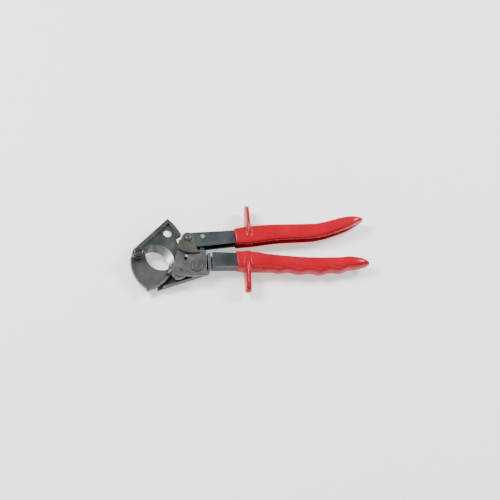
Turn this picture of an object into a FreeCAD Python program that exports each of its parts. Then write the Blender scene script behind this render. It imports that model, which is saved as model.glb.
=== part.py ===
# One-hand ratcheting cable cutter, 260 mm long.
# Frame: origin on the blade's pivot axis, in the plane that the tool rests on.
# +X runs to the handles, +Y to the lever's side, +Z out of the front of the head. Millimetres.
import FreeCAD, Part
import Sketcher
import math
import os

V = FreeCAD.Vector
doc = FreeCAD.newDocument("cable_cutter")

# ---------------------------------------------------------------- driving dimensions
sheet = doc.addObject("Spreadsheet::Sheet", "sizes")
SIZES = {
    # layers of the head, from back to front
    "nutDepth": 7.0,
    "washerTop": 8.1,
    "lugBackFloor": 2.0,
    "lugThick": 2.8,
    "trayFloor": 5.0,
    "trayThick": 3.0,
    "bladeFloor": 8.15,
    "bladeThick": 5.0,
    "jawFloor": 13.25,
    "jawThick": 4.0,
    "rimRise": 3.0,
    "coverFloor": 17.35,
    "coverThick": 3.05,
    # blade and jaw
    "pivotShank": 4.0,
    "runningGap": 0.05,
    "bossRadius": 6.4,
    "lobeRadius": 6.3,
    "toothTip": 42.0,
    "toothRoot": 40.8,
    "toothPitch": 3.0,
    "toothCount": 21,
    "toothStart": -79.0,
    "bladeArc": 35.0,
    "bladeMouth": 17.0,
    "jawMouth": 16.2,
    "rimRadius": 52.2,
    "rimWidth": 3.2,
    "rimSide": 4.2,
    "sideOffset": 6.2,
    "sideAngle": 42.4,
    "hangHole": 4.3,
    "hangX": 33.6,
    "hangY": 23.6,
    # frame
    "boltX": 62.8,
    "boltY": -15.4,
    "boltShank": 4.0,
    "boltHead": 6.5,
    "wallThick": 1.6,
    "endWall": 3.0,
    "trayEndX": 78.2,
    "trayInner": 38.6,
    "leverX": 54.6,
    "leverY": 15.8,
    "leverShank": 3.0,
    "lugRadius": 6.7,
    # pawls and release
    "holdX": 45.1,
    "holdY": -20.4,
    "holdPin": 2.1,
    "driveX": 47.8,
    "driveY": 13.4,
    "drivePin": 1.6,
    "pawlFloor": 8.3,
    "pawlThick": 3.0,
    "slotX": 52.0,
    "slotY": -4.0,
    "slotHalf": 1.75,
    "slotReach": 3.25,
    "slotTilt": 21.5,
    "releasePin": 1.6,
    # handles
    "channelFloor": 5.2,
    "channelTop": 20.3,
    "channelWall": 2.2,
    "anchorX": 70.8,
    "anchorY": 19.0,
    "anchorPin": 2.2,
    "springX": 71.0,
    "springZ": 10.4,
    "springRadius": 2.4,
    "gripHalf": 9.45,
    "gripMiddle": 12.75,
    "gripRound": 5.0,
    "guardThick": 4.6,
    "guardRadius": 12.75,
    "upperGuardX": 119.2,
    "lowerGuardX": 116.3,
    "upperGuardTip": 57.5,
    "lowerGuardTip": -43.2,
}
for row, (alias, value) in enumerate(SIZES.items(), start=1):
    sheet.set(f"A{row}", alias)
    sheet.set(f"B{row}", str(value))
    sheet.setAlias(f"B{row}", alias)
doc.recompute()


def size(alias):
    """The number that the sheet holds under this alias."""
    return float(getattr(sheet, alias))


def bind(thing, prop, expression):
    """Binds a property to an expression in which $word stands for a cell of the sheet."""
    thing.setExpression(prop, expression.replace("$", "sizes."))


# ---------------------------------------------------------------- plane geometry helpers
def polar(radius, degrees, centre=(0.0, 0.0)):
    a = math.radians(degrees)
    return (centre[0] + radius * math.cos(a), centre[1] + radius * math.sin(a))


def arc(centre, radius, start, end):
    """An arc piece of an outline: from start to end in degrees, either way round."""
    return ("arc", polar(radius, (start + end) / 2, centre), polar(radius, end, centre))


def add_outline(sketch, first, pieces):
    """Adds a closed outline: it starts at a point and goes on by points and arcs."""
    here = first
    for piece in pieces + [first]:
        if piece[0] == "arc":
            curve = Part.Arc(V(*here, 0), V(*piece[1], 0), V(*piece[2], 0))
            here = piece[2]
        elif math.dist(here, piece) > 1e-6:
            curve = Part.LineSegment(V(*here, 0), V(*piece, 0))
            here = piece
        else:
            continue
        sketch.addGeometry(curve, False)


def add_round(sketch, x, y, radius):
    """Adds a circle whose centre and radius are expressions in the sheet's words."""
    index = sketch.addGeometry(Part.Circle(V(1, 1, 0), V(0, 0, 1), 1.0), False)
    for kind, expression in (("DistanceX", x), ("DistanceY", y)):
        row = sketch.addConstraint(Sketcher.Constraint(kind, -1, 1, index, 3, 1.0))
        bind(sketch, f"Constraints[{row}]", expression)
    row = sketch.addConstraint(Sketcher.Constraint("Radius", index, 1.0))
    bind(sketch, f"Constraints[{row}]", radius)


def sketch_on(body, name, role, offset="0"):
    """A sketch on one of the body's origin planes, lifted by an expression."""
    sketch = body.newObject("Sketcher::SketchObject", name)
    plane = next(f for f in body.Origin.OriginFeatures if f.Role == role)
    sketch.AttachmentSupport = [(plane, "")]
    sketch.MapMode = "FlatFace"
    if offset != "0":
        bind(sketch, "AttachmentOffset.Base.z", offset)
    return sketch


def new_body(name):
    body = doc.addObject("PartDesign::Body", name)
    body.Label = name
    return body


def pad(body, sketch, length):
    feature = body.newObject("PartDesign::Pad", sketch.Name + "_pad")
    feature.Profile = sketch
    bind(feature, "Length", length)
    return feature


def plate(name, floor, thick, first, pieces, rounds=()):
    """A flat plate of the given outline, with round holes, as a body."""
    body = new_body(name)
    sketch = sketch_on(body, name + "_outline", "XY_Plane", floor)
    add_outline(sketch, first, pieces)
    for x, y, radius in rounds:
        add_round(sketch, x, y, radius)
    pad(body, sketch, thick)
    return body


def disc(name, x, y, radius, floor, thick, bore=None):
    """A round plate or a ring."""
    body = new_body(name)
    sketch = sketch_on(body, name + "_ring", "XY_Plane", floor)
    add_round(sketch, x, y, radius)
    if bore:
        add_round(sketch, x, y, bore)
    pad(body, sketch, thick)
    return body


def turned(name, x, y, profile):
    """A piece turned about an upright axis at x, y: profile holds (radius, height) points and arcs."""
    body = new_body(name)
    sketch = sketch_on(body, name + "_profile", "XZ_Plane")
    add_outline(sketch, profile[0], profile[1:])
    spin = body.newObject("PartDesign::Revolution", name + "_spin")
    spin.Profile = sketch
    spin.ReferenceAxis = (sketch, ["V_Axis"])
    spin.Angle = 360
    bind(body, "Placement.Base.x", x)
    bind(body, "Placement.Base.y", y)
    return body


def block(name, low, high):
    """A box between two corners."""
    box = doc.addObject("Part::Box", name)
    box.Length, box.Width, box.Height = (high[k] - low[k] for k in range(3))
    box.Placement.Base = V(*low)
    return box


def rod(name, x, y, radius, floor, height):
    """A plain cylinder along Z, bound to the sheet."""
    cylinder = doc.addObject("Part::Cylinder", name)
    bind(cylinder, "Placement.Base.x", x)
    bind(cylinder, "Placement.Base.y", y)
    bind(cylinder, "Placement.Base.z", floor)
    bind(cylinder, "Radius", radius)
    bind(cylinder, "Height", height)
    return cylinder


def cut(name, base, tool):
    result = doc.addObject("Part::Cut", name)
    result.Base = base
    result.Tool = tool
    return result


def fuse(name, *shapes):
    result = doc.addObject("Part::MultiFuse", name)
    result.Shapes = list(shapes)
    return result


def hexagon(name, x, y, across, floor, thick, bore):
    """A hexagon nut: across is the distance between its flats."""
    body = new_body(name)
    sketch = sketch_on(body, name + "_flats", "XY_Plane", floor)
    corners = [polar(across / math.sqrt(3), 60 * k, (size(x), size(y)) if x else (0, 0)) for k in range(6)]
    add_outline(sketch, corners[0], corners[1:])
    add_round(sketch, "$" + x if x else "0", "$" + y if y else "0", bore)
    pad(body, sketch, thick)
    return body


nodes = {}


def keep(thing, name):
    """Names a finished sub-part after its node."""
    thing.Label = name
    nodes[name] = thing
    return thing


# ---------------------------------------------------------------- shared places
LEVER = (size("leverX"), size("leverY"))
BOLT = (size("boltX"), size("boltY"))
HOLD = (size("holdX"), size("holdY"))
DRIVE = (size("driveX"), size("driveY"))
JAW_MOUTH = (16.4, -13.2)
JAW_BEVEL = (19.5, -8.75)
JAW_BEVEL_RADIUS = 19.3
BLADE_MOUTH = (26.1, -0.5)
BLADE_BACK = (27.7, -8.3)
SLOPE_START = (21.7, -38.5)
SLOPE_END = (77.9, -19.3)
jaw_top = size("jawFloor") + size("jawThick")
rim_top = jaw_top + size("rimRise")
cover_top = size("coverFloor") + size("coverThick")
tray_top = size("trayFloor") + size("trayThick")


def circles_meet(c1, r1, c2, r2, side):
    """Where two circles cross: side is +1 for the crossing left of the way from c1 to c2."""
    span = math.dist(c1, c2)
    along = (span**2 + r1**2 - r2**2) / (2 * span)
    off = side * math.sqrt(r1**2 - along**2)
    ux, uy = (c2[0] - c1[0]) / span, (c2[1] - c1[1]) / span
    return (c1[0] + along * ux - off * uy, c1[1] + along * uy + off * ux)


def bearing(point, centre=(0.0, 0.0)):
    return math.degrees(math.atan2(point[1] - centre[1], point[0] - centre[0]))


# ---------------------------------------------------------------- fixed jaw
def make_fixed_jaw():
    boss, mouth = size("bossRadius"), size("jawMouth")
    side = size("sideAngle")
    along = polar(1.0, side)
    out = polar(1.0, side + 90)

    def on_side(run, offset):
        return (run * along[0] + offset * out[0], run * along[1] + offset * out[1])

    mouth_left = circles_meet(JAW_MOUTH, mouth, (0, 0), boss, 1)
    corner_run = math.sqrt(size("rimRadius") ** 2 - size("sideOffset") ** 2)
    corner = on_side(corner_run, size("sideOffset"))
    side_run = math.sqrt(boss**2 - size("sideOffset") ** 2)
    side_start = on_side(side_run, size("sideOffset"))
    mouth_end = -32.5
    rim_end, neck, neck_end = 23.5, 45.5, -12.4
    outline = [
        arc(JAW_MOUTH, mouth, mouth_end, bearing(mouth_left, JAW_MOUTH)),
        arc((0, 0), boss, bearing(mouth_left), bearing(side_start) - 360),
        corner,
        arc((0, 0), size("rimRadius"), bearing(corner), rim_end),
        polar(neck, rim_end - 1),
        arc((0, 0), neck, rim_end - 1, neck_end),
        (58.5, polar(neck, neck_end)[1]),
        arc(BOLT, 6.4, 120, -80),
        (42.5, -25.6),
        (35.0, -24.8),
    ]
    web = plate(
        "jaw_web",
        "$jawFloor",
        "$jawThick",
        polar(mouth, mouth_end, JAW_MOUTH),
        outline,
        [
            ("$hangX", "$hangY", "$hangHole"),
            ("$boltX", "$boltY", "$boltShank"),
            ("$holdX", "$holdY", "$holdPin"),
        ],
    )
    inner = size("rimRadius") - size("rimWidth")
    inner_offset = size("sideOffset") - size("rimSide")
    inner_run = math.sqrt(inner**2 - inner_offset**2)
    rim = plate(
        "jaw_rim",
        "$jawFloor + $jawThick - 0.5",
        "$rimRise + 0.5",
        on_side(2.0, size("sideOffset")),
        [
            corner,
            arc((0, 0), size("rimRadius"), bearing(corner), rim_end),
            polar(inner, rim_end - 0.5),
            arc((0, 0), inner, rim_end - 0.5, bearing(on_side(inner_run, inner_offset))),
            on_side(2.0, inner_offset),
        ],
    )
    # the ground bevel is a slanted cone from the cutting edge to the front of the web
    rings = []
    for step in (-0.1, 1.1):
        ring = doc.addObject("Part::Circle", "bevel_ring")
        ring.Radius = mouth + step * (JAW_BEVEL_RADIUS - mouth)
        ring.Placement.Base = V(
            JAW_MOUTH[0] + step * (JAW_BEVEL[0] - JAW_MOUTH[0]),
            JAW_MOUTH[1] + step * (JAW_BEVEL[1] - JAW_MOUTH[1]),
            size("jawFloor") + step * size("jawThick"),
        )
        rings.append(ring)
    cone = doc.addObject("Part::Loft", "bevel_cone")
    cone.Sections = rings
    cone.Solid = True
    cone.Ruled = True
    ground = cut("jaw_ground", web, cone)
    boss_disc = disc("jaw_boss", "0", "0", "$bossRadius", "$jawFloor", "$jawThick + $rimRise")
    whole = fuse("jaw_whole", ground, rim, boss_disc)
    bore = rod("jaw_bore", "0", "0", "$pivotShank", "0", "40")
    keep(cut("fixed_jaw_body", whole, bore), "fixed_jaw")


# ---------------------------------------------------------------- moving blade
def make_moving_blade():
    tip, root, pitch = size("toothTip"), size("toothRoot"), size("toothPitch")
    start, count = size("toothStart"), int(size("toothCount"))
    mouth, lobe, back = size("bladeMouth"), size("lobeRadius"), size("bladeArc")
    # the hidden tip turns in on a smaller arc, so that the last teeth have metal behind them
    beak, beak_radius, turn_over = (27.2, -6.4), 11.0, -80
    teeth = []
    for k in range(count):
        a = start + k * pitch
        teeth += [polar(tip, a), polar(root, a + pitch)]
    last = start + count * pitch
    lobe_right = polar(lobe, 34)
    shoulder = circles_meet((0, 0), lobe, BLADE_BACK, back, 1)
    heel = circles_meet((0, 0), root - 1.6, BLADE_BACK, back, -1)
    if heel[1] > -30:
        heel = circles_meet((0, 0), root - 1.6, BLADE_BACK, back, 1)
    if shoulder[0] > 0:
        shoulder = circles_meet((0, 0), lobe, BLADE_BACK, back, -1)
    web = plate(
        "blade_web",
        "$bladeFloor",
        "$bladeThick",
        heel,
        [polar(root - 1.6, start)]
        + teeth
        + [
            polar(tip - 0.4, last + 0.4),
            arc((0, 0), tip - 0.4, last + 0.4, -8.5),
            polar(beak_radius, 5, beak),
            arc(beak, beak_radius, 5, turn_over),
            polar(mouth, turn_over, BLADE_MOUTH),
            arc(BLADE_MOUTH, mouth, turn_over, -186),
            lobe_right,
            arc((0, 0), lobe, bearing(lobe_right), bearing(shoulder) % 360),
            arc(BLADE_BACK, back, bearing(shoulder, BLADE_BACK) % 360, bearing(heel, BLADE_BACK) % 360),
        ],
        [("0", "0", "$pivotShank + $runningGap")],
    )
    # the toothed band lies lower than the polished front of the blade
    step_centre, step_radius = (1.7, -8.3), 31.9
    band = plate(
        "blade_band",
        "$bladeFloor + $bladeThick - 0.9",
        "3",
        polar(step_radius, -13, step_centre),
        [
            arc(step_centre, step_radius, -13, -74),
            polar(step_radius + 14, -80, step_centre),
            arc(step_centre, step_radius + 14, -80, -13),
        ],
    )
    stepped = cut("blade_stepped", web, band)
    # the cutting edge is ground from the back
    cone = doc.addObject("Part::Cone", "blade_bevel")
    cone.Radius1 = mouth + 3.0
    cone.Radius2 = mouth - 0.2
    cone.Height = 4.4
    cone.Placement.Base = V(*BLADE_MOUTH, size("bladeFloor") - 0.1)
    keep_sector = plate(
        "bevel_sector",
        "$bladeFloor - 1",
        "8",
        BLADE_MOUTH,
        [polar(40, -160, BLADE_MOUTH), arc(BLADE_MOUTH, 40, -160, turn_over)],
    )
    bevel = doc.addObject("Part::Common", "blade_bevel_part")
    bevel.Base = cone
    bevel.Tool = keep_sector
    keep(cut("moving_blade_body", stepped, bevel), "moving_blade")


# ---------------------------------------------------------------- head frame
def make_frame_tray():
    inner = size("trayInner")
    end = size("trayEndX")
    wall = size("wallThick")
    floor = plate(
        "tray_floor",
        "$trayFloor",
        "$trayThick",
        SLOPE_START,
        [
            (end - 2.0, SLOPE_END[1] - 0.7),
            ("arc", (end - 0.5, SLOPE_END[1] + 0.2), (end, SLOPE_END[1] + 2.0)),
            (end, 0.4),
            (end - 1.8, 2.2),
            (42.5, 2.2),
            polar(inner, -2),
            arc((0, 0), inner, -2, -52),
            (20.6, -36.6),
            ("arc", (20.2, -37.9), SLOPE_START),
        ],
        [("$boltX", "$boltY", "$boltShank"), ("$holdX", "$holdY", "$holdPin")],
    )
    run = math.dist(SLOPE_START, SLOPE_END)
    along = ((SLOPE_END[0] - SLOPE_START[0]) / run, (SLOPE_END[1] - SLOPE_START[1]) / run)

    def on_slope(x, inward):
        share = (x - SLOPE_START[0]) / along[0]
        return (
            SLOPE_START[0] + share * along[0] - inward * along[1],
            SLOPE_START[1] + share * along[1] + inward * along[0],
        )

    lip = plate(
        "tray_lip",
        "$trayFloor + 1",
        "6.5",
        on_slope(26.0, 0),
        [on_slope(60.0, 0), on_slope(60.0, wall), on_slope(26.6, wall)],
    )
    side = plate(
        "tray_side",
        "$trayFloor + 1",
        "$coverFloor - $trayFloor - 1",
        on_slope(58.0, 0),
        [on_slope(end - 2.0, 0), on_slope(end - 2.0, wall + 0.8), on_slope(58.0, wall)],
    )
    post = plate(
        "tray_end",
        "$trayFloor + 1",
        "$coverFloor + $coverThick - $trayFloor - 1.4",
        (end - size("endWall"), -0.2),
        [
            (end - size("endWall"), SLOPE_END[1] - 1.0),
            (end - 2.0, SLOPE_END[1] - 0.7),
            ("arc", (end - 0.5, SLOPE_END[1] + 0.2), (end, SLOPE_END[1] + 2.0)),
            (end, -0.2),
        ],
    )
    whole = fuse("tray_whole", floor, lip, side, post)
    window = block("tray_window", (end - 6.0, -13.3, tray_top + 0.05), (end + 2.0, -0.9, 13.2))
    keep(cut("frame_tray_body", whole, window), "frame_tray")


def slot_outline(reach, half):
    """The outline of the tilted release slot: its first point and the pieces that follow."""
    centre = (size("slotX"), size("slotY"))
    lean = 90 - size("slotTilt")
    top = polar(reach, lean, centre)
    bottom = polar(-reach, lean, centre)
    return polar(half, lean - 90, bottom), [
        polar(half, lean - 90, top),
        arc(top, half, lean - 90, lean + 90),
        polar(half, lean + 90, bottom),
        arc(bottom, half, lean + 90, lean + 270),
    ]


def make_cover_plate():
    body = plate(
        "cover_sheet",
        "$coverFloor",
        "$coverThick",
        (43.5, 2.9),
        [
            ("arc", (42.8, 2.6), (42.4, 1.9)),
            (35.2, -24.2),
            ("arc", (36.9, -28.9), (41.8, -30.6)),
            ("arc", (46.1, -29.6), (50.0, -26.8)),
            (72.8, -26.3),
            (74.0, 1.9),
            ("arc", (73.7, 2.6), (73.0, 2.9)),
        ],
        [
            ("$boltX", "$boltY", "$boltShank"),
            ("$holdX", "$holdY", "$holdPin"),
            ("71.2", "-3.3", "1.0"),
        ],
    )
    sketch = sketch_on(body, "release_slot", "XY_Plane", "$coverFloor - 1")
    first, pieces = slot_outline(size("slotReach"), size("slotHalf"))
    add_outline(sketch, first, pieces)
    # the curved slit that leaves the lower corner a springy lip
    slit_mid = (43.6, -27.6)
    add_outline(
        sketch,
        (38.9, -25.9),
        [
            ("arc", slit_mid, (48.4, -27.0)),
            (48.7, -27.8),
            ("arc", (slit_mid[0] - 0.2, slit_mid[1] - 0.9), (38.4, -26.5)),
        ],
    )
    pocket = body.newObject("PartDesign::Pocket", "cover_openings")
    pocket.Profile = sketch
    pocket.Length = 10
    pocket.Reversed = True
    keep(body, "cover_plate")


def make_pivot_lugs():
    radius = size("lugRadius")
    outline = [
        (61.3, 12.0),
        (62.9, 5.2),
        ("arc", (64.2, 2.6), (67.3, 1.6)),
        (67.2, -0.3),
        ("arc", (55.1, -0.9), (42.3, 4.2)),
        (43.1, 8.0),
        polar(radius, 168, LEVER),
        arc(LEVER, radius, 168, 8),
    ]
    first = polar(radius, 8, LEVER)
    bore = [("$leverX", "$leverY", "$leverShank")]
    front = plate("lug_front", "$coverFloor + $coverThick", "$lugThick", first, outline, bore)
    back = plate("lug_back", "$lugBackFloor", "$trayFloor - $lugBackFloor", first, outline, bore)
    keep(front, "pivot_lug_front")
    keep(back, "pivot_lug_back")


# ---------------------------------------------------------------- turned pieces of the head
def slotted(name, blank, x, y, top, width, depth, angle):
    """Cuts a screwdriver slot across the head of a turned blank."""
    bar = block(name + "_bar", (-12, -width / 2, -depth), (12, width / 2, 5))
    turn = FreeCAD.Rotation(V(0, 0, 1), angle)
    bar.Placement = FreeCAD.Placement(V(x, y, top), turn).multiply(bar.Placement)
    return cut(name + "_cut", blank, bar)


def make_fasteners():
    shank = size("pivotShank")
    head = rim_top + 4.2
    bolt = turned(
        "pivot_bolt_blank",
        "0",
        "0",
        [
            (0, 1.0),
            (shank, 1.0),
            (shank, rim_top),
            (5.2, rim_top),
            (5.2, head - 1.2),
            ("arc", (4.8, head - 0.35), (4.0, head)),
            (0, head),
        ],
    )
    keep(slotted("pivot_slot", bolt, 0, 0, head, 1.5, 1.6, 20), "blade_pivot_bolt")
    keep(hexagon("blade_pivot_nut_body", "", "", 11.0, "0", "$nutDepth", "$pivotShank"), "blade_pivot_nut")
    washer = disc(
        "pivot_washer", "0", "0", "6.0", "$nutDepth", "$washerTop - $nutDepth", "$pivotShank"
    )
    keep(washer, "blade_pivot_washer")

    head_radius = size("boltHead")
    face = cover_top + 1.9
    bolt = turned(
        "frame_bolt_blank",
        "$boltX",
        "$boltY",
        [
            (0, 1.0),
            (size("boltShank"), 1.0),
            (size("boltShank"), cover_top),
            (head_radius, cover_top),
            (head_radius, face - 0.7),
            (head_radius - 0.7, face),
            (0, face),
        ],
    )
    keep(slotted("frame_slot", bolt, *BOLT, face, 1.7, 1.3, 68), "frame_bolt")
    keep(hexagon("frame_bolt_nut_body", "boltX", "boltY", 13.0, "1.2", "$trayFloor - 1.2", "$boltShank"),
         "frame_bolt_nut")

    lug_top = cover_top + size("lugThick")
    shank = size("leverShank")
    rivet = turned(
        "lever_rivet_blank",
        "$leverX",
        "$leverY",
        [
            (0, 0.4),
            (3.2, 0.4),
            (4.4, 2.0),
            (shank, 2.0),
            (shank, lug_top),
            (4.0, lug_top),
            ("arc", (2.9, lug_top + 1.6), (1.0, lug_top + 2.3)),
            (0, lug_top + 2.3),
        ],
    )
    keep(rivet, "lever_pivot_rivet")
    hold_length = "$coverFloor + $coverThick - $trayFloor - 0.3"
    hold_pin = rod("hold_pin", "$holdX", "$holdY", "$holdPin", "$trayFloor", hold_length)
    keep(hold_pin, "holding_pawl_pin")
    cover_length = "$coverFloor + $coverThick - $trayFloor - $trayThick + 0.2"
    cover_pin = rod("cover_pin_rod", "71.2", "-3.3", "1.0", "$trayFloor + $trayThick", cover_length)
    keep(cover_pin, "cover_pin")


# ---------------------------------------------------------------- pawls and release
def torsion_spring(name, x, y, bore, leg_angle):
    """A flat torsion spring on a pawl's pin, with one straight leg."""
    floor = "$pawlFloor + $pawlThick + 0.2"
    ring = disc(name + "_coil", x, y, bore + " + 1.1", floor, "1.5", bore + " + 0.1")
    centre = (size(x[1:]), size(y[1:]))
    near = size(bore[1:]) + 0.6
    corners = []
    for reach, off in ((near, -0.3), (near + 6.0, -0.3), (near + 6.0, 0.3), (near, 0.3)):
        spot = polar(reach, leg_angle, centre)
        corners.append(polar(off, leg_angle + 90, spot))
    leg = plate(name + "_leg", "$pawlFloor + $pawlThick + 0.6", "0.6", corners[0], corners[1:])
    keep(fuse(name + "_body", ring, leg), name)


def make_pawls():
    clear = size("toothTip") + 0.2
    nose = polar(clear, -21.0)
    holding = plate(
        "holding_pawl_body",
        "$pawlFloor",
        "$pawlThick",
        polar(4.0, 100, HOLD),
        [
            polar(clear + 3.2, -17.6),
            polar(clear + 0.2, -19.6),
            nose,
            polar(clear + 1.2, -22.8),
            polar(4.0, 215, HOLD),
            arc(HOLD, 4.0, 215, 460),
        ],
        [("$holdX", "$holdY", "$holdPin + $runningGap")],
    )
    keep(holding, "holding_pawl")
    drive = plate(
        "drive_pawl_body",
        "$pawlFloor",
        "$pawlThick",
        polar(3.0, 0, DRIVE),
        [
            arc(DRIVE, 3.0, 0, 180),
            (44.6, 4.0),
            (43.9, -4.0),
            polar(clear + 1.3, -10.8),
            polar(clear, -13.3),
            polar(clear + 0.9, -14.3),
            polar(clear + 3.2, -13.0),
            (48.2, -4.0),
        ],
        [("$driveX", "$driveY", "$drivePin + $runningGap")],
    )
    keep(drive, "drive_pawl")
    torsion_spring("holding_pawl_spring", "$holdX", "$holdY", "$holdPin", 35)
    torsion_spring("drive_pawl_spring", "$driveX", "$driveY", "$drivePin", 265)
    arm_top = jaw_top - 0.05
    radius = size("drivePin")
    pin = turned(
        "drive_pin_blank",
        "$driveX",
        "$driveY",
        [(0, 7.4), (2.5, 7.4), (2.5, 8.2), (radius, 8.2), (radius, arm_top), (0, arm_top)],
    )
    keep(pin, "drive_pawl_pin")


def make_release():
    lean = 90 - size("slotTilt")
    centre = polar(1.9, lean, (size("slotX"), size("slotY")))
    corners = []
    for along, across in ((-3.6, 3.2), (-3.6, -3.2), (4.0, -3.2), (4.0, 3.2)):
        corners.append(polar(across, lean + 90, polar(along, lean, centre)))
    slide = plate(
        "release_slide_body",
        "$jawFloor + 0.25",
        "3",
        corners[0],
        corners[1:],
        [("$slotX", "$slotY", "$releasePin")],
    )
    keep(slide, "release_slide")
    pin = rod("release_pin_rod", "$slotX", "$slotY", "$releasePin", "$jawFloor + 0.25", "7.6")
    keep(pin, "release_pin")


# ---------------------------------------------------------------- handles
UPPER_LOW = [
    (60.4, 6.8),
    (106.7, 12.6),
    (150.1, 18.4),
    (172.2, 19.6),
    (193.3, 21.2),
    (204.4, 23.8),
    (215.7, 28.0),
]
UPPER_HIGH = [
    (61.4, 23.5),
    (107.5, 26.2),
    (150.8, 31.0),
    (172.8, 31.3),
    (193.9, 31.7),
    (205.0, 33.7),
    (216.2, 37.0),
]
LOWER_LOW = [
    (80.0, -15.4),
    (127.5, -15.4),
    (175.5, -17.0),
    (207.5, -16.6),
    (225.5, -14.2),
]
LOWER_HIGH = [
    (80.0, 1.1),
    (121.5, -0.6),
    (149.5, -4.2),
    (179.5, -7.0),
    (225.5, -7.4),
]


def make_lever():
    wall = size("channelWall")
    hub = 6.4
    end_arc = arc(LEVER, hub, 95, 250)
    outer_pieces = UPPER_LOW + UPPER_HIGH[::-1] + [polar(hub, 95, LEVER), end_arc]
    holes = [("$leverX", "$leverY", "$leverShank + $runningGap"), ("$anchorX", "$anchorY", "$anchorPin")]
    outer = plate(
        "lever_outer",
        "$channelFloor",
        "$channelTop - $channelFloor",
        polar(hub, 250, LEVER),
        outer_pieces,
        holes,
    )
    inner_high = [(x, y - wall) for x, y in UPPER_HIGH]
    hollow = plate(
        "lever_hollow",
        "$channelFloor + $channelWall",
        "$channelTop - $channelFloor - 2 * $channelWall",
        (40.0, 0.0),
        [(60.0, 0.0)]
        + [(x, y - 6.0) for x, y in UPPER_LOW[1:-1]]
        + [(219.0, 20.0), (219.0, inner_high[-1][1])]
        + inner_high[::-1]
        + [(60.0, 30.0), (40.0, 30.0)],
    )
    keep(cut("lever_channel_body", outer, hollow), "lever_channel")

    arm = plate(
        "lever_arm_body",
        "$jawFloor + 0.25",
        "$jawThick - 0.3",
        polar(5.4, 270, LEVER),
        [
            (60.0, 11.6),
            (74.0, 14.5),
            (74.0, 21.4),
            (61.0, 21.0),
            polar(5.4, 80, LEVER),
            arc(LEVER, 5.4, 80, 150),
            polar(3.0, 110, DRIVE),
            arc(DRIVE, 3.0, 110, 280),
        ],
        [
            ("$leverX", "$leverY", "$leverShank + $runningGap"),
            ("$anchorX", "$anchorY", "$anchorPin"),
            ("$driveX", "$driveY", "$drivePin"),
        ],
    )
    keep(arm, "lever_arm")
    bush = disc(
        "bush_ring",
        "$leverX",
        "$leverY",
        "4",
        "$channelFloor + $channelWall",
        "$jawFloor + 0.25 - $channelFloor - $channelWall",
        "$leverShank + $runningGap",
    )
    keep(bush, "lever_bush")
    anchor = rod("anchor_rod", "$anchorX", "$anchorY", "$anchorPin", "$channelFloor - 0.1",
                 "$channelTop - $channelFloor + 0.5")
    keep(anchor, "spring_anchor_pin")


def make_fixed_handle():
    wall = size("channelWall")
    outer = plate(
        "fixed_outer",
        "$channelFloor",
        "$channelTop - $channelFloor",
        LOWER_LOW[0],
        LOWER_LOW[1:] + LOWER_HIGH[::-1],
    )
    hollow = plate(
        "fixed_hollow",
        "$channelFloor + $channelWall",
        "$channelTop - $channelFloor - 2 * $channelWall",
        (78.0, LOWER_LOW[0][1] + wall),
        [(x, y + wall) for x, y in LOWER_LOW[1:-1]] + [(230.0, -11.8), (230.0, 6.0), (78.0, 6.0)],
    )
    keep(cut("fixed_channel_body", outer, hollow), "fixed_handle_channel")
    tang = plate(
        "handle_tang_body",
        "$trayFloor + $trayThick + 0.1",
        "5",
        (57.0, -9.0),
        [
            ("arc", (55.3, -15.4), (57.0, -21.0)),
            (63.0, -21.4),
            (73.5, -13.2),
            (104.0, -13.2),
            (104.0, -3.5),
            (99.0, -1.0),
            (67.0, -1.0),
        ],
        [("$boltX", "$boltY", "$boltShank")],
    )
    pin_hole = rod("tang_pin_hole", "71.2", "-3.3", "1.0", "0", "30")
    keep(cut("handle_tang_bored", tang, pin_hole), "handle_tang")


def grip_section(name, x, low, high, corner):
    """One rounded cross-section of a grip, in the plane at this x."""
    # the grip gets thinner as its corners get smaller towards the tail
    half = size("gripHalf") - max(0.0, size("gripRound") - corner) * 0.8
    middle = size("gripMiddle")
    left, right = middle - half, middle + half
    sketch = doc.addObject("Sketcher::SketchObject", name)
    add_outline(
        sketch,
        (low + corner, left),
        [
            (high - corner, left),
            arc((high - corner, left + corner), corner, -90, 0),
            (high, right - corner),
            arc((high - corner, right - corner), corner, 0, 90),
            (low + corner, right),
            arc((low + corner, right - corner), corner, 90, 180),
            (low, left + corner),
            arc((low + corner, left + corner), corner, 180, 270),
        ],
    )
    sketch.Placement = FreeCAD.Placement(V(x, 0, 0), FreeCAD.Rotation(V(0, 1, 0), V(0, 0, 1), V(1, 0, 0)))
    return sketch


def grip_loft(name, stations):
    """A grip's outer form through its stations: (x, low y, high y, corner radius)."""
    loft = doc.addObject("Part::Loft", name)
    loft.Sections = [grip_section(f"{name}_section", *station) for station in stations]
    loft.Solid = True
    loft.Ruled = True
    return loft


def guard(name, x, tip, base):
    """A guard across a handle: a plate with a round end, wider than the grip."""
    radius = size("guardRadius")
    body = new_body(name)
    sketch = sketch_on(body, name + "_outline", "YZ_Plane", x)
    side = 1 if tip > base else -1
    shoulder = tip - side * radius
    middle = size("gripMiddle")
    add_outline(
        sketch,
        (base, middle - 9.0),
        [
            (shoulder, middle - radius),
            ("arc", (tip, middle), (shoulder, middle + radius)),
            (base, middle + 9.0),
        ],
    )
    pad(body, sketch, "$guardThick")
    return body


UPPER_STATIONS = [
    (106.8, 10.0, 28.8, 5.0),
    (125.3, 11.6, 32.4, 5.0),
    (150.5, 15.0, 34.0, 5.0),
    (172.5, 16.4, 34.3, 5.0),
    (193.6, 17.9, 34.9, 5.0),
    (204.7, 20.5, 37.0, 5.0),
    (215.9, 24.4, 40.2, 5.0),
    (227.2, 28.6, 42.7, 4.9),
    (238.3, 35.0, 43.2, 2.9),
    (247.0, 40.0, 42.4, 1.0),
]


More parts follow.
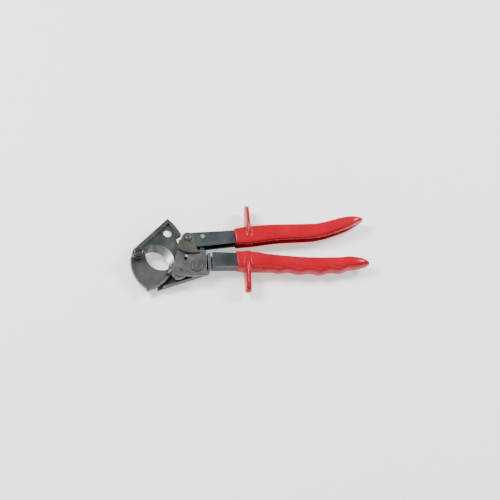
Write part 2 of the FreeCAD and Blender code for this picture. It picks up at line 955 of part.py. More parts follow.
def finger_ripple(x):
    """The finger grooves along the lower edge: a wave that fades out towards the guard."""
    first_bump, pitch, depth = 151.7, 22.4, 1.1
    fade = min(1.0, max(0.0, (x - 137.4) / 16.0)) * min(1.0, max(0.0, (239.4 - x) / 12.0))
    return -depth * fade * math.cos(2 * math.pi * (x - first_bump) / pitch)


def lower_stations():
    spine = [
        (107.2, -17.0, 2.6),
        (125.4, -18.6, 2.6),
        (140.5, -19.4, 0.6),
        (151.7, -19.7, -0.7),
        (162.9, -20.3, -1.9),
        (174.1, -21.0, -2.9),
        (185.3, -21.4, -3.4),
        (196.5, -21.5, -3.7),
        (207.7, -20.7, -3.7),
        (218.9, -19.2, -3.4),
        (230.1, -17.2, -2.7),
        (239.4, -15.2, -3.7),
    ]
    stations = [(x, low + finger_ripple(x), high, size("gripRound")) for x, low, high in spine]
    stations[-1] = (*stations[-1][:3], 4.4)
    return stations + [(247.0, -12.9, -6.1, 3.2), (251.4, -10.7, -8.3, 1.0)]


def make_grips():
    middle = size("gripMiddle")
    loft = grip_loft("upper_loft", UPPER_STATIONS)
    fin = guard("upper_guard", "$upperGuardX", size("upperGuardTip"), 11.5)
    whole = fuse("upper_grip_whole", loft, fin)
    core = plate(
        "upper_core",
        "$channelFloor",
        "$channelTop - $channelFloor",
        (100.0, 11.8),
        UPPER_LOW[1:] + UPPER_HIGH[:0:-1] + [(100.0, 25.85)],
    )
    groove = plate(
        "upper_groove",
        f"{middle - 3.4}",
        "6.8",
        (95.0, 0.0),
        [
            (200.0, 0.0),
            (208.0, 26.0),
            (192.0, 22.5),
            (171.0, 20.5),
            (149.0, 19.5),
            (106.0, 14.0),
            (95.0, 13.0),
        ],
    )
    keep(cut("lever_grip_body", whole, fuse("upper_tools", core, groove)), "lever_grip")

    loft = grip_loft("lower_loft", lower_stations())
    fin = guard("lower_guard", "$lowerGuardX", size("lowerGuardTip"), 1.0)
    whole = fuse("lower_grip_whole", loft, fin)
    core = plate(
        "lower_core",
        "$channelFloor",
        "$channelTop - $channelFloor",
        (100.0, -15.4),
        LOWER_LOW[1:] + LOWER_HIGH[:0:-1] + [(100.0, 0.3)],
    )
    groove = plate(
        "lower_groove",
        f"{middle - 3.4}",
        "6.8",
        (95.0, 8.0),
        [(95.0, -1.0), (122.0, -2.0), (150.0, -5.5), (180.0, -8.2), (222.0, -8.6), (226.0, 8.0)],
    )
    keep(cut("fixed_grip_body", whole, fuse("lower_tools", core, groove)), "fixed_grip")


# ---------------------------------------------------------------- return spring
def make_return_spring():
    radius, low = size("springRadius"), 2.2
    high = size("anchorY") - size("anchorPin") - 0.1
    seat_low = -1.0
    spring = doc.addObject("Part::Cylinder", "spring_tube")
    spring.Radius = radius
    spring.Height = high - low
    bore = doc.addObject("Part::Cylinder", "spring_bore")
    bore.Radius = radius - 0.9
    bore.Height = high - low
    upright = FreeCAD.Rotation(V(1, 0, 0), -90)
    for piece in (spring, bore):
        piece.Placement = FreeCAD.Placement(V(size("springX"), low, size("springZ")), upright)
    keep(cut("return_spring_body", spring, bore), "return_spring")
    # the seat is a short stud standing on the tang's upper edge
    cup = doc.addObject("Part::Cylinder", "seat_cup")
    cup.Radius = radius - 0.06
    cup.Height = low - seat_low
    cup.Placement = FreeCAD.Placement(V(size("springX"), seat_low, size("springZ")), upright)
    keep(cup, "spring_seat")


make_fixed_jaw()
make_moving_blade()
make_frame_tray()
make_cover_plate()
make_pivot_lugs()
make_fasteners()
make_pawls()
make_release()
make_lever()
make_fixed_handle()
make_grips()
make_return_spring()
doc.recompute()

for thing in doc.Objects:
    if "Invalid" in thing.State or "Error" in thing.State:
        raise RuntimeError(f"{thing.Label} failed: {thing.State}")
os.makedirs("parts", exist_ok=True)
for name, thing in nodes.items():
    shape = thing.Shape
    if shape.isNull() or not shape.isValid():
        raise RuntimeError(f"{name} has no valid shape")
    box = shape.BoundBox
    print(f"{name:22s} solids {len(shape.Solids)} volume {shape.Volume:9.1f}",
          f"z {box.ZMin:.2f}..{box.ZMax:.2f}")
    shape.exportStep(f"parts/{name}.step")
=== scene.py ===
# One-hand ratcheting cable cutter: the looks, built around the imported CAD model.
import math

import bmesh
import bpy
import numpy as np
from mathutils import Matrix, Vector


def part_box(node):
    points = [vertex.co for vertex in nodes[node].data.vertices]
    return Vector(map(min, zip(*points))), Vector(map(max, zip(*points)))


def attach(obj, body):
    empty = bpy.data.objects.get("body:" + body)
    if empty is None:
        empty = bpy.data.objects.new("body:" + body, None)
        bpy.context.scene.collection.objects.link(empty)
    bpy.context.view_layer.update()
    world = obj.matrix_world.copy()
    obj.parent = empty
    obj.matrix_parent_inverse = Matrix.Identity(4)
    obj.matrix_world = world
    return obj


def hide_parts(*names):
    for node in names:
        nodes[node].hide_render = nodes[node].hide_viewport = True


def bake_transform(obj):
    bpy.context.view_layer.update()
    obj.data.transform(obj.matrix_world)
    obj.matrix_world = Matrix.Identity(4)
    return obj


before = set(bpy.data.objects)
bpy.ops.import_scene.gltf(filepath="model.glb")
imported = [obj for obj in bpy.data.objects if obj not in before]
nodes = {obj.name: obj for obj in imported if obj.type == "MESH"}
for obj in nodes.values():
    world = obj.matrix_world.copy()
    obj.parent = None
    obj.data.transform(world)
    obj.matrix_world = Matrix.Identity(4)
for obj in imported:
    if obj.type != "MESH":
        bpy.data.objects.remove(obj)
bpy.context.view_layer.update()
scene = bpy.context.scene
MM = 0.001


def mm(*values):
    """Millimetres of the design frame as a vector in metres."""
    return Vector(values) * MM


# ------------------------------------------------------------------ camera
PICTURE_WIDTH = 535.5 * MM  # width of the view in the plane of the tool
CAMERA_AWAY = 3.2
CAMERA_BACK = Vector((-0.15, -0.39, 0.908)).normalized()
CAMERA_UP = Vector((0.0, 0.918, 0.394))
VIEW_RIGHT, VIEW_UP = 122.5, 10.7  # where the view's centre lies, in mm along its own axes


def make_camera():
    right = CAMERA_UP.cross(CAMERA_BACK).normalized()
    up = CAMERA_BACK.cross(right)
    data = bpy.data.cameras.new("camera")
    data.type = "ORTHO"
    data.ortho_scale = PICTURE_WIDTH
    data.clip_end = 20.0
    camera = bpy.data.objects.new("camera", data)
    target = (right * VIEW_RIGHT + up * VIEW_UP) * MM
    turn = Matrix((right, up, CAMERA_BACK)).transposed().to_4x4()
    camera.matrix_world = Matrix.Translation(target + CAMERA_BACK * CAMERA_AWAY) @ turn
    scene.collection.objects.link(camera)
    scene.camera = camera


# ------------------------------------------------------------------ light and floor
TOOL_MIDDLE = mm(125, 5, 10)
WORLD_STRENGTH = 0.5
FLOOR_REACH = 4.0
FLOOR_DROP = 0.0001  # keeps the floor just below the guards' edges


def area_light(name, place, size, power, size_y=None):
    """A lamp that looks at the middle of the tool: sizes in metres, power in watts."""
    data = bpy.data.lights.new(name, "AREA")
    data.shape = "RECTANGLE" if size_y else "SQUARE"
    data.size = size
    if size_y:
        data.size_y = size_y
    data.energy = power
    lamp = bpy.data.objects.new(name, data)
    direction = TOOL_MIDDLE - Vector(place)
    lamp.rotation_euler = direction.to_track_quat("-Z", "Y").to_euler()
    lamp.location = place
    scene.collection.objects.link(lamp)


def make_light():
    world = bpy.data.worlds.new("studio")
    scene.world = world
    world.use_nodes = True
    background = world.node_tree.nodes["Background"]
    background.inputs["Color"].default_value = (1, 1, 1, 1)
    background.inputs["Strength"].default_value = WORLD_STRENGTH
    area_light("key", (-0.75, 0.35, 1.15), 0.45, 30.0)
    area_light("side", (1.05, 0.45, 1.0), 0.4, 20.0)
    area_light("front", (0.15, -1.1, 0.95), 0.9, 3.5, size_y=0.3)


def make_floor():
    mesh = bpy.data.meshes.new("floor")
    signs = [(-1, -1), (1, -1), (1, 1), (-1, 1)]
    corners = [(x * FLOOR_REACH, y * FLOOR_REACH, -FLOOR_DROP) for x, y in signs]
    mesh.from_pydata(corners, [], [(0, 1, 2, 3)])
    floor = bpy.data.objects.new("floor", mesh)
    scene.collection.objects.link(floor)
    paper = new_material("floor_paper")
    shader = paper.node_tree.nodes["Principled BSDF"]
    shader.inputs["Base Color"].default_value = (0.93, 0.93, 0.93, 1)
    shader.inputs["Roughness"].default_value = 0.9
    shader.inputs["Specular IOR Level"].default_value = 0.1
    shader.inputs["Emission Color"].default_value = (1, 1, 1, 1)
    shader.inputs["Emission Strength"].default_value = 0.55
    mesh.materials.append(paper)


# ------------------------------------------------------------------ materials
MIX_SHARE, MIX_A, MIX_B, MIX_RESULT = 0, 6, 7, 2  # a colour mix's sockets, by number
BEVEL_SAMPLES = 6
BEND_START, BEND_FULL = 0.02, 0.25  # how far a surface turns before its wear shows


def new_material(name):
    material = bpy.data.materials.new(name)
    material.use_nodes = True
    return material


class Net:
    """A short way to write a material's nodes."""

    def __init__(self, name):
        self.material = new_material(name)
        self.tree = self.material.node_tree
        self.shader = self.tree.nodes["Principled BSDF"]
        coords = self.node("ShaderNodeTexCoord")
        self.place = coords.outputs["Object"]

    def node(self, kind, **settings):
        made = self.tree.nodes.new(kind)
        for key, value in settings.items():
            setattr(made, key, value)
        return made

    def link(self, a, b):
        self.tree.links.new(a, b)

    def noise(self, scale, detail=3.0, rough=0.55, stretch=None):
        """A noise value over the object: scale is features per metre."""
        made = self.node("ShaderNodeTexNoise")
        made.inputs["Scale"].default_value = scale
        made.inputs["Detail"].default_value = detail
        made.inputs["Roughness"].default_value = rough
        source = self.place
        if stretch:
            mapping = self.node("ShaderNodeMapping")
            mapping.inputs["Scale"].default_value = stretch
            self.link(source, mapping.inputs["Vector"])
            source = mapping.outputs["Vector"]
        self.link(source, made.inputs["Vector"])
        return made.outputs["Fac"]

    def ramp(self, value, stops):
        """Maps a value through colour stops: (position, (r, g, b))."""
        made = self.node("ShaderNodeValToRGB")
        ramp = made.color_ramp
        ramp.elements[0].position, ramp.elements[0].color = stops[0][0], (*stops[0][1], 1)
        ramp.elements[1].position, ramp.elements[1].color = stops[-1][0], (*stops[-1][1], 1)
        for position, colour in stops[1:-1]:
            ramp.elements.new(position).color = (*colour, 1)
        self.link(value, made.inputs["Fac"])
        return made.outputs["Color"]

    def span(self, value, low, high, to_low=0.0, to_high=1.0):
        made = self.node("ShaderNodeMapRange")
        made.inputs["From Min"].default_value = low
        made.inputs["From Max"].default_value = high
        made.inputs["To Min"].default_value = to_low
        made.inputs["To Max"].default_value = to_high
        self.link(value, made.inputs["Value"])
        return made.outputs["Result"]

    def mix(self, share, a, b):
        made = self.node("ShaderNodeMix", data_type="RGBA")
        for slot, value in ((MIX_SHARE, share), (MIX_A, a), (MIX_B, b)):
            if isinstance(value, (tuple, float, int)):
                made.inputs[slot].default_value = (*value, 1) if isinstance(value, tuple) else value
            else:
                self.link(value, made.inputs[slot])
        return made.outputs[MIX_RESULT]

    def math(self, operation, a, b=None):
        made = self.node("ShaderNodeMath", operation=operation)
        for slot, value in enumerate((a, b)):
            if value is None:
                continue
            if isinstance(value, (float, int)):
                made.inputs[slot].default_value = value
            else:
                self.link(value, made.inputs[slot])
        return made.outputs["Value"]

    def edge(self, radius):
        """Where the surface turns within this radius: 0 on flats, 1 on edges."""
        bevel = self.node("ShaderNodeBevel", samples=BEVEL_SAMPLES)
        bevel.inputs["Radius"].default_value = radius
        shape = self.node("ShaderNodeNewGeometry")
        dot = self.node("ShaderNodeVectorMath", operation="DOT_PRODUCT")
        self.link(bevel.outputs["Normal"], dot.inputs[0])
        self.link(shape.outputs["Normal"], dot.inputs[1])
        bend = self.math("SUBTRACT", 1.0, dot.outputs["Value"])
        return self.span(bend, BEND_START, BEND_FULL)

    def bump(self, height, strength, distance, rounding=None):
        made = self.node("ShaderNodeBump")
        made.inputs["Strength"].default_value = strength
        made.inputs["Distance"].default_value = distance
        self.link(height, made.inputs["Height"])
        if rounding:
            bevel = self.node("ShaderNodeBevel", samples=BEVEL_SAMPLES)
            bevel.inputs["Radius"].default_value = rounding
            self.link(bevel.outputs["Normal"], made.inputs["Normal"])
        self.link(made.outputs["Normal"], self.shader.inputs["Normal"])

    def colour(self, value):
        self.link(value, self.shader.inputs["Base Color"])

    def rough(self, value):
        self.link(value, self.shader.inputs["Roughness"])


WORN_STEEL = (0.4, 0.41, 0.42)
STEEL_ROUNDING = 0.00025


def dark_steel(name, deep, light, metal, gloss):
    """Phosphated tool steel: mottled, finely grained, rubbed bright along its edges."""
    net = Net(name)
    cloud = net.noise(55, 4)
    grains = net.noise(1500, 3, 0.6)
    base = net.ramp(cloud, [(0.3, deep), (0.7, light)])
    speck = net.mix(net.span(grains, 0.35, 0.75, 0.0, 0.5), base, light)
    patches = net.span(net.noise(260, 3), 0.35, 0.65, 0.15, 0.8)
    rub = net.math("MULTIPLY", net.edge(STEEL_ROUNDING * 1.6), patches)
    net.colour(net.mix(rub, speck, WORN_STEEL))
    net.rough(net.span(net.math("ADD", cloud, net.math("MULTIPLY", grains, 0.5)), 0.45, 1.05, *gloss))
    net.shader.inputs["Metallic"].default_value = metal
    net.bump(grains, 0.12, 0.00006, STEEL_ROUNDING)
    return net.material


def ground_steel(name):
    """The bevel as it comes off the grinder: bright, with fine strokes, and painted shade darkening it
    towards its low and left ends.
    """
    net = Net(name)
    strokes = net.noise(420, 4, 0.6, (1.0, 1.0, 9.0))
    cloud = net.noise(70, 2)
    base = net.ramp(cloud, [(0.3, (0.10, 0.105, 0.11)), (0.7, (0.26, 0.265, 0.27))])
    streaked = net.mix(net.span(strokes, 0.3, 0.8, 0.0, 0.45), base, (0.5, 0.5, 0.51))
    parts = net.node("ShaderNodeSeparateXYZ")
    net.link(net.place, parts.inputs["Vector"])
    # painted shade: the cone goes dark towards its low (−Y) and left (−X) ends
    low_side_shade = net.span(parts.outputs["Y"], -0.022, -0.006, 0.75, 0.0)
    left_side_shade = net.span(parts.outputs["X"], 0.004, 0.013, 0.6, 0.0)
    net.colour(net.mix(net.math("MAXIMUM", low_side_shade, left_side_shade), streaked, (0.06, 0.064, 0.066)))
    net.rough(net.span(strokes, 0.3, 0.7, 0.22, 0.38))
    net.shader.inputs["Metallic"].default_value = 1.0
    net.bump(strokes, 0.15, 0.00004)
    return net.material


def bright_steel(name):
    net = Net(name)
    cloud = net.noise(400, 3)
    net.colour(net.ramp(cloud, [(0.3, (0.62, 0.62, 0.63)), (0.7, (0.86, 0.86, 0.87))]))
    net.rough(net.span(cloud, 0.3, 0.7, 0.18, 0.32))
    net.shader.inputs["Metallic"].default_value = 1.0
    net.bump(net.noise(2500, 2), 0.06, 0.00003, 0.0003)
    return net.material


def red_vinyl(name):
    """Dipped vinyl: deep glossy red with soft waves and a few dull rubbed spots."""
    net = Net(name)
    cloud = net.noise(38, 3)
    net.colour(net.ramp(cloud, [(0.25, (0.34, 0.0, 0.008)), (0.75, (0.43, 0.0003, 0.014))]))
    rub = net.noise(160, 4, 0.6)
    net.rough(net.span(rub, 0.35, 0.75, 0.2, 0.34))
    shader = net.shader
    shader.inputs["Specular IOR Level"].default_value = 0.18
    shader.inputs["Coat Weight"].default_value = 0.08
    shader.inputs["Coat Roughness"].default_value = 0.12
    shader.inputs["Subsurface Weight"].default_value = 0.05
    shader.inputs["Subsurface Radius"].default_value = (0.004, 0.0006, 0.0005)
    shader.inputs["Subsurface Scale"].default_value = 1.0
    waves = net.math("ADD", net.noise(110, 2), net.math("MULTIPLY", net.noise(900, 2), 0.05))
    net.bump(waves, 0.16, 0.0004)
    return net.material


# name, dark tone, light tone, metallic share and the two ends of the roughness
STEELS = {
    "jaw": ("jaw_steel", (0.030, 0.035, 0.037), (0.085, 0.093, 0.096), 0.75, (0.34, 0.5)),
    "blade": ("blade_steel", (0.032, 0.035, 0.036), (0.085, 0.089, 0.088), 0.75, (0.36, 0.55)),
    "tray": ("tray_steel", (0.045, 0.045, 0.047), (0.10, 0.098, 0.103), 0.5, (0.45, 0.6)),
    "cover": ("cover_steel", (0.05, 0.055, 0.057), (0.14, 0.145, 0.147), 0.75, (0.34, 0.5)),
    "lug": ("lug_steel", (0.040, 0.038, 0.034), (0.075, 0.070, 0.063), 0.6, (0.42, 0.55)),
    "channel": ("channel_steel", (0.030, 0.040, 0.043), (0.075, 0.088, 0.093), 0.75, (0.3, 0.45)),
    "dark": ("fastener_steel", (0.040, 0.046, 0.050), (0.13, 0.14, 0.145), 0.85, (0.25, 0.4)),
    "face": ("bolt_steel", (0.075, 0.08, 0.083), (0.19, 0.195, 0.2), 0.85, (0.28, 0.42)),
    "pawl": ("pawl_steel", (0.08, 0.08, 0.08), (0.2, 0.2, 0.2), 0.9, (0.3, 0.45)),
    "spring": ("spring_wire", (0.3, 0.3, 0.31), (0.5, 0.5, 0.52), 1.0, (0.25, 0.35)),
    # the next entry is near-black painted shade for the tray's recess and end wall, not a colour of the
    # steel
    "inside": ("tray_painted_shade", (0.010, 0.010, 0.010), (0.03, 0.03, 0.03), 0.3, (0.5, 0.7)),
    "band": ("band_steel", (0.10, 0.105, 0.105), (0.22, 0.225, 0.225), 0.8, (0.3, 0.45)),
}


def make_materials():
    materials = {kind: dark_steel(*look) for kind, look in STEELS.items()}
    materials["ground"] = ground_steel("ground_steel")
    materials["bright"] = bright_steel("bright_steel")
    materials["vinyl"] = red_vinyl("dipped_vinyl")
    return materials


# ------------------------------------------------------------------ CAD nodes that stay
def assign(node, material):
    mesh = nodes[node].data
    mesh.materials.clear()
    mesh.materials.append(material)


WELD_DISTANCE = 0.000004
SHARP_ANGLE = math.radians(35)


def ease_edges(node, width):
    """Rounds a CAD node's sharp edges a little: its triangles are welded first."""
    piece = nodes[node]
    weld = piece.modifiers.new("weld", "WELD")
    weld.merge_threshold = WELD_DISTANCE
    bevel = piece.modifiers.new("edges", "BEVEL")
    bevel.width = width
    bevel.segments = 2
    bevel.limit_method = "ANGLE"
    bevel.angle_limit = SHARP_ANGLE
    bevel.use_clamp_overlap = True
    level = piece.modifiers.new("level", "WEIGHTED_NORMAL")
    level.weight = 60
    level.keep_sharp = True


# how far each CAD node's edges are eased, in mm
EASED = {
    "fixed_jaw": 0.35,
    "moving_blade": 0.2,
    "cover_plate": 0.5,
    "frame_tray": 0.45,
    "pivot_lug_front": 0.45,
    "pivot_lug_back": 0.45,
    "lever_channel": 0.8,
    "fixed_handle_channel": 0.8,
    "frame_bolt": 0.3,
    "blade_pivot_bolt": 0.25,
    "blade_pivot_nut": 0.3,
    "frame_bolt_nut": 0.3,
    "lever_arm": 0.3,
}


def dress_frame(materials):
    wanted = {
        "jaw": ["fixed_jaw"],
        "blade": ["moving_blade"],
        "tray": ["frame_tray"],
        "cover": ["cover_plate"],
        "lug": ["pivot_lug_front", "pivot_lug_back"],
        "channel": ["lever_channel", "fixed_handle_channel"],
        "face": ["frame_bolt"],
        "dark": ["blade_pivot_bolt", "blade_pivot_nut", "blade_pivot_washer", "frame_bolt_nut",
                 "lever_pivot_rivet", "holding_pawl_pin", "cover_pin", "lever_bush", "drive_pawl_pin",
                 "spring_seat"],
        "pawl": ["holding_pawl", "drive_pawl", "release_slide", "lever_arm", "handle_tang"],
        "spring": ["holding_pawl_spring", "drive_pawl_spring"],
        "bright": ["release_pin", "spring_anchor_pin"],
    }
    for kind, names in wanted.items():
        for name in names:
            assign(name, materials[kind])


CONE_MIDDLE, CONE_REACH = Vector((18.2, -11.0)), 21
BAND_TOP = 12.8
TOOTH_INSIDE = 39


def shine_bevel(materials):
    """Gives the ground cone of the fixed jaw its own bright finish."""
    mesh = nodes["fixed_jaw"].data
    mesh.materials.append(materials["ground"])
    for face in mesh.polygons:
        spot = Vector((face.center.x, face.center.y)) / MM - CONE_MIDDLE
        slopes = 0.25 < face.normal.z < 0.95
        if slopes and spot.length < CONE_REACH and face.normal.xy.dot(spot) < 0:
            face.material_index = 1


def mark_teeth(materials):
    """The toothed band and the teeth are left as cut: paler than the polished front of the blade."""
    mesh = nodes["moving_blade"].data
    mesh.materials.append(materials["band"])
    for face in mesh.polygons:
        spot = Vector((face.center.x, face.center.y)) / MM
        on_band = face.normal.z > 0.9 and face.center.z / MM < BAND_TOP
        tooth = abs(face.normal.z) < 0.3 and spot.length > TOOTH_INSIDE and spot.y < -8
        if on_band or tooth:
            face.material_index = 1


def darken_tray(materials):
    """Paints the tray's floor, its walls facing +Y and its faces turned to −X near black: painted shade
    for the deep recess and the shaded end wall; the other faces keep the tray steel with its rubbed edges.
    """
    mesh = nodes["frame_tray"].data
    mesh.materials.append(materials["inside"])
    for face in mesh.polygons:
        z = face.center.z / MM
        # floor, inner wall and the faces turned to −X get the painted shade
        floor = face.normal.z > 0.9 and z < 10
        wall = face.normal.y > 0.5 and z > 8
        if floor or wall or face.normal.x < -0.5:
            face.material_index = 1


# ------------------------------------------------------------------ grips
def new_object(name, mesh, material, body, slot, *replaced):
    mesh.materials.append(material)
    piece = bpy.data.objects.new(name, mesh)
    scene.collection.objects.link(piece)
    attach(piece, body)
    if replaced:
        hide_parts(*replaced)


def smooth_curve(points):
    """A smooth function of x through given points (monotone cubic)."""
    xs = np.array([p[0] for p in points], float)
    ys = np.array([p[1] for p in points], float)
    steps, slopes = np.diff(xs), np.diff(ys) / np.diff(xs)
    tangents = np.zeros(len(xs))
    tangents[0], tangents[-1] = slopes[0], slopes[-1]
    for k in range(1, len(xs) - 1):
        if slopes[k - 1] * slopes[k] > 0:
            w1, w2 = 2 * steps[k] + steps[k - 1], steps[k] + 2 * steps[k - 1]
            tangents[k] = (w1 + w2) / (w1 / slopes[k - 1] + w2 / slopes[k])

    def value(x):
        k = int(np.clip(np.searchsorted(xs, x) - 1, 0, len(xs) - 2))
        u = (x - xs[k]) / steps[k]
        u = min(max(u, 0.0), 1.0)
        h = steps[k]
        return (
            ys[k] * (1 + 2 * u) * (1 - u) ** 2
            + tangents[k] * h * u * (1 - u) ** 2
            + ys[k + 1] * u * u * (3 - 2 * u)
            + tangents[k + 1] * h * u * u * (u - 1)
        )

    return value


MIDDLE_Z = 12.75  # the handles' middle plane
GRIP_HALF = 9.45
GUARD_HALF = 12.7
RING_COUNT = 56
FIN_COUNT = 40


def ring_points(low, high, half, power):
    """A rounded-square section: power 2 is an ellipse, more is squarer."""
    points = []
    centre, reach = (low + high) / 2, (high - low) / 2
    for k in range(RING_COUNT):
        a = 2 * math.pi * k / RING_COUNT
        c, s = math.cos(a), math.sin(a)
        y = centre + reach * math.copysign(abs(c) ** (2 / power), c)
        z = MIDDLE_Z + half * math.copysign(abs(s) ** (2 / power), s)
        points.append((y, z))
    return points


def skin_rings(mesh, rings):
    """Faces between rings of equal length, and a cap on both ends."""
    count = len(rings[0])
    for first, second in zip(rings, rings[1:]):
        for k in range(count):
            nxt = (k + 1) % count
            mesh.faces.new((first[k], first[nxt], second[nxt], second[k]))
    mesh.faces.new(rings[0][::-1])
    mesh.faces.new(rings[-1])
    bmesh.ops.recalc_face_normals(mesh, faces=mesh.faces)
    return mesh


def loft(stations):
    """A closed mesh through rings of equal length: each station is (x, ring, lean, middle)."""
    mesh = bmesh.new()
    rings = []
    for x, ring, lean, middle in stations:
        rings.append([mesh.verts.new(mm(x - lean * (y - middle), y, z)) for y, z in ring])
    return skin_rings(mesh, rings)


def fin_mesh(x, base, tip, half_base, half_tip, thick_base, thick_tip):
    """A guard: a plate that narrows and thins from its root to a round tip."""
    side = 1 if tip > base else -1
    reach = abs(tip - base)
    round_from = reach - half_tip
    swell = GUARD_HALF - (half_base + (half_tip - half_base) * 0.5)
    mesh = bmesh.new()
    rings = []
    for k in range(FIN_COUNT + 1):
        away = reach * math.sin(math.pi / 2 * k / FIN_COUNT)
        if away > round_from:
            inside = (away - round_from) / half_tip
            half = half_tip * math.sqrt(max(0.0, 1 - inside * inside))
        else:
            share = away / round_from
            half = half_base + (half_tip - half_base) * share + swell * math.sin(math.pi * min(1.0, share))
        half = max(half, 0.5)
        thinning = max(0.0, 1 - away / reach * 1.7) ** 1.5
        thick = min(thick_tip + (thick_base - thick_tip) * thinning, half * 1.7)
        ring = []
        for j in range(FIN_COUNT):
            a = 2 * math.pi * j / FIN_COUNT
            c, s = math.cos(a), math.sin(a)
            px = x + thick / 2 * math.copysign(abs(c) ** 0.8, c)
            pz = MIDDLE_Z + half * math.copysign(abs(s) ** 0.75, s)
            ring.append(mesh.verts.new(mm(px, base + side * away, pz)))
        rings.append(ring)
    return skin_rings(mesh, rings)


def to_object(name, mesh):
    data = bpy.data.meshes.new(name)
    mesh.to_mesh(data)
    mesh.free()
    made = bpy.data.objects.new(name, data)
    scene.collection.objects.link(made)
    return made


def baked(made):
    """The object's mesh with its modifiers applied, and the object removed."""
    bpy.context.view_layer.update()
    graph = bpy.context.evaluated_depsgraph_get()
    mesh = bpy.data.meshes.new_from_object(made.evaluated_get(graph))
    bpy.data.objects.remove(made)
    return mesh


SKIN_VOXEL = 0.62
MELT_SHARE, MELT_ROUNDS = 0.6, 9


def moulded(name, body, fin, groove):
    """Cuts the hollow, joins the guard, and melts it all into one dipped skin."""
    difference = body.modifiers.new("cut", "BOOLEAN")
    difference.operation = "DIFFERENCE"
    difference.solver = "EXACT"
    difference.object = groove
    union = body.modifiers.new("fin", "BOOLEAN")
    union.operation = "UNION"
    union.solver = "EXACT"
    union.object = fin
    remesh = body.modifiers.new("skin", "REMESH")
    remesh.mode = "VOXEL"
    remesh.voxel_size = SKIN_VOXEL * MM
    smooth = body.modifiers.new("melt", "SMOOTH")
    smooth.factor = MELT_SHARE
    smooth.iterations = MELT_ROUNDS
    mesh = baked(body)
    for spent in (fin, groove):
        bpy.data.objects.remove(spent)
    for face in mesh.polygons:
        face.use_smooth = True
    mesh.name = name
    return mesh


# the grips' lower and upper outlines in the handles' plane: (x, y) in mm
UPPER_LOW = smooth_curve(
    [(105.5, 10.0), (125, 11.6), (150, 15.0), (161, 15.9), (172, 16.4), (191, 17.6), (204, 20.3),
     (216, 24.4), (227, 28.6), (237.5, 34.0), (247, 38.5)]
)
UPPER_HIGH = smooth_curve(
    [(105.5, 28.8), (125, 32.4), (150, 34.0), (172, 34.3), (191, 34.8), (204, 36.8), (216, 40.2),
     (227, 42.7), (237.5, 43.6), (247, 43.8)]
)
LOWER_LOW = smooth_curve(
    [(106, -16.9), (125, -18.6), (140, -19.4), (151, -19.7), (163, -20.3), (175, -21.0), (187, -21.5),
     (197, -21.5), (208, -20.7), (219, -19.2), (231, -17.2), (240, -16.2), (251, -15.5)]
)
LOWER_HIGH = smooth_curve(
    [(106, 2.6), (125, 2.6), (140, 0.6), (159, -1.5), (175, -2.9), (187, -3.5), (205, -3.7),
     (220, -3.3), (231, -2.5), (240, -2.6), (251, -3.8)]
)


def finger_ripple(x):
    """The finger grooves along the lower edge, fading out at both ends."""
    first_bump, pitch, depth = 151.7, 22.4, 1.1
    fade = min(1.0, max(0.0, (x - 137.4) / 16.0)) * min(1.0, max(0.0, (239.4 - x) / 12.0))
    return -depth * fade * math.cos(2 * math.pi * (x - first_bump) / pitch)


def tail_share(x, start, end):
    """1 along the grip, falling round to 0 at its tip."""
    if x <= start:
        return 1.0
    return math.sqrt(max(0.0, 1 - ((x - start) / (end - start)) ** 2))


GRIP_STEPS = 130
GROOVE_STEPS = 60


def grip_form(name, start, end, tail, low, high, powers, lean, ripple=None):
    """A grip's outer form. powers: squareness at the sleeve end and along the palm."""
    stations = []
    for k in range(GRIP_STEPS + 1):
        x = start + (end - start) * math.sin(math.pi / 2 * k / GRIP_STEPS)
        share = max(tail_share(x, tail, end), 0.06)
        bottom, top = low(x), high(x)
        if ripple:
            bottom += ripple(x)
        middle = (bottom + top) / 2
        reach = (top - bottom) / 2 * share
        fade = max(0.0, 1 - (x - start) / 30.0)
        power = powers[1] + (powers[0] - powers[1]) * fade
        ring = ring_points(middle - reach, middle + reach, GRIP_HALF * share**0.75, power)
        stations.append((x, ring, lean * fade, middle))
    return to_object(name, loft(stations))


def groove_form(name, start, end, edge, depth, half, side):
    """The hollow along the inside of a handle: edge(x) is the lip, side says which way it opens."""
    stations = []
    for k in range(GROOVE_STEPS + 1):
        x = start + (end - start) * k / GROOVE_STEPS
        fade = math.sqrt(max(0.0, 1 - (k / GROOVE_STEPS) ** 4))
        floor = edge(x) - side * depth(x) * max(fade, 0.05)
        mouth = edge(x) + side * 8.0
        width = half * max(fade, 0.25)
        ring = [
            (mouth, MIDDLE_Z - width),
            (floor, MIDDLE_Z - width),
            (floor, MIDDLE_Z + width),
            (mouth, MIDDLE_Z + width),
        ]
        stations.append((x, ring, 0.0, 0.0))
    return to_object(name, loft(stations))


def upper_depth(x):
    """The upper groove gets shallower towards the tail."""
    return 9.0 if x < 205 else 9.0 - (x - 205) * 0.15


def lower_depth(_):
    return 7.0


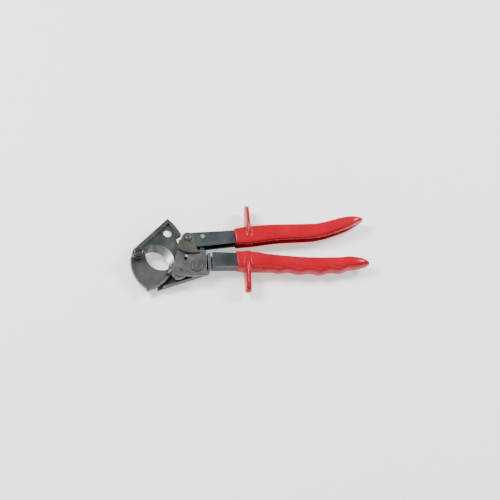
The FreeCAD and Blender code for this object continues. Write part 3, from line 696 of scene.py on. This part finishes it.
def make_grips(materials):
    body = grip_form("upper_form", 106.4, 247.0, 231.0, UPPER_LOW, UPPER_HIGH, (4.6, 4.0), 0.11)
    fin = to_object("upper_fin", fin_mesh(121.3, 14.5, 56.8, 8.6, 10.5, 10.5, 5.0))
    groove = groove_form("upper_groove", 90.0, 241.0, UPPER_LOW, upper_depth, 4.6, -1)
    mesh = moulded("lever_grip_skin", body, fin, groove)
    new_object("lever_grip_skin", mesh, materials["vinyl"], "lever", "red_vinyl", "lever_grip")

    body = grip_form("lower_form", 106.6, 251.2, 226.0, LOWER_LOW, LOWER_HIGH, (4.6, 2.55), 0.08,
                     finger_ripple)
    fin = to_object("lower_fin", fin_mesh(118.2, 2.0, -43.1, 9.6, 10.5, 9.5, 6.6))
    groove = groove_form("lower_groove", 90.0, 226.0, LOWER_HIGH, lower_depth, 3.9, 1)
    mesh = moulded("fixed_grip_skin", body, fin, groove)
    new_object("fixed_grip_skin", mesh, materials["vinyl"], "frame", "red_vinyl", "fixed_grip")


# ------------------------------------------------------------------ springs
SPRING_X, SPRING_Z = 71.0, 10.4
CLOSED_TURNS = 1.5
STEPS_PER_TURN = 20


def helix(name, start, axis, radius, wire, length, turns):
    """A coil of wire along an axis, with closed ends."""
    curve = bpy.data.curves.new(name, "CURVE")
    curve.dimensions = "3D"
    curve.bevel_depth = wire * MM
    curve.bevel_resolution = 4
    curve.use_fill_caps = True
    axis = Vector(axis).normalized()
    side = axis.orthogonal().normalized()
    other = axis.cross(side)
    steps = int(turns * STEPS_PER_TURN)
    spline = curve.splines.new("POLY")
    spline.points.add(steps)
    solid = 2 * wire * 1.02
    free = turns - 2 * CLOSED_TURNS
    pitch = (length - 2 * wire - 2 * CLOSED_TURNS * solid) / free if free > 0 else solid
    for k in range(steps + 1):
        turn = turns * k / steps
        opened = max(0.0, min(turn, turns - CLOSED_TURNS) - CLOSED_TURNS)
        rise = min(turn, CLOSED_TURNS) * solid + opened * pitch
        rise += max(0.0, turn - (turns - CLOSED_TURNS)) * solid
        angle = 2 * math.pi * turn
        spot = Vector(start) + axis * (wire + rise)
        spot += (side * math.cos(angle) + other * math.sin(angle)) * (radius - wire)
        spline.points[k].co = (*(spot * MM), 1)
    made = bpy.data.objects.new(name, curve)
    scene.collection.objects.link(made)
    mesh = baked(made)
    for face in mesh.polygons:
        face.use_smooth = True
    return mesh


def make_springs(materials):
    low, high = (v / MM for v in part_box("return_spring"))
    start = (SPRING_X, low.y, SPRING_Z)
    mesh = helix("return_coil", start, (0, 1, 0), 2.35, 0.42, high.y - low.y, 9.0)
    mesh.materials.append(materials["spring"])
    coil = bpy.data.objects.new("return_coil", mesh)
    scene.collection.objects.link(coil)
    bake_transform(coil)
    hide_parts("return_spring")


make_camera()
make_light()
make_floor()
materials = make_materials()
dress_frame(materials)
shine_bevel(materials)
darken_tray(materials)
mark_teeth(materials)
for node, width in EASED.items():
    ease_edges(node, width * MM)
make_grips(materials)
make_springs(materials)
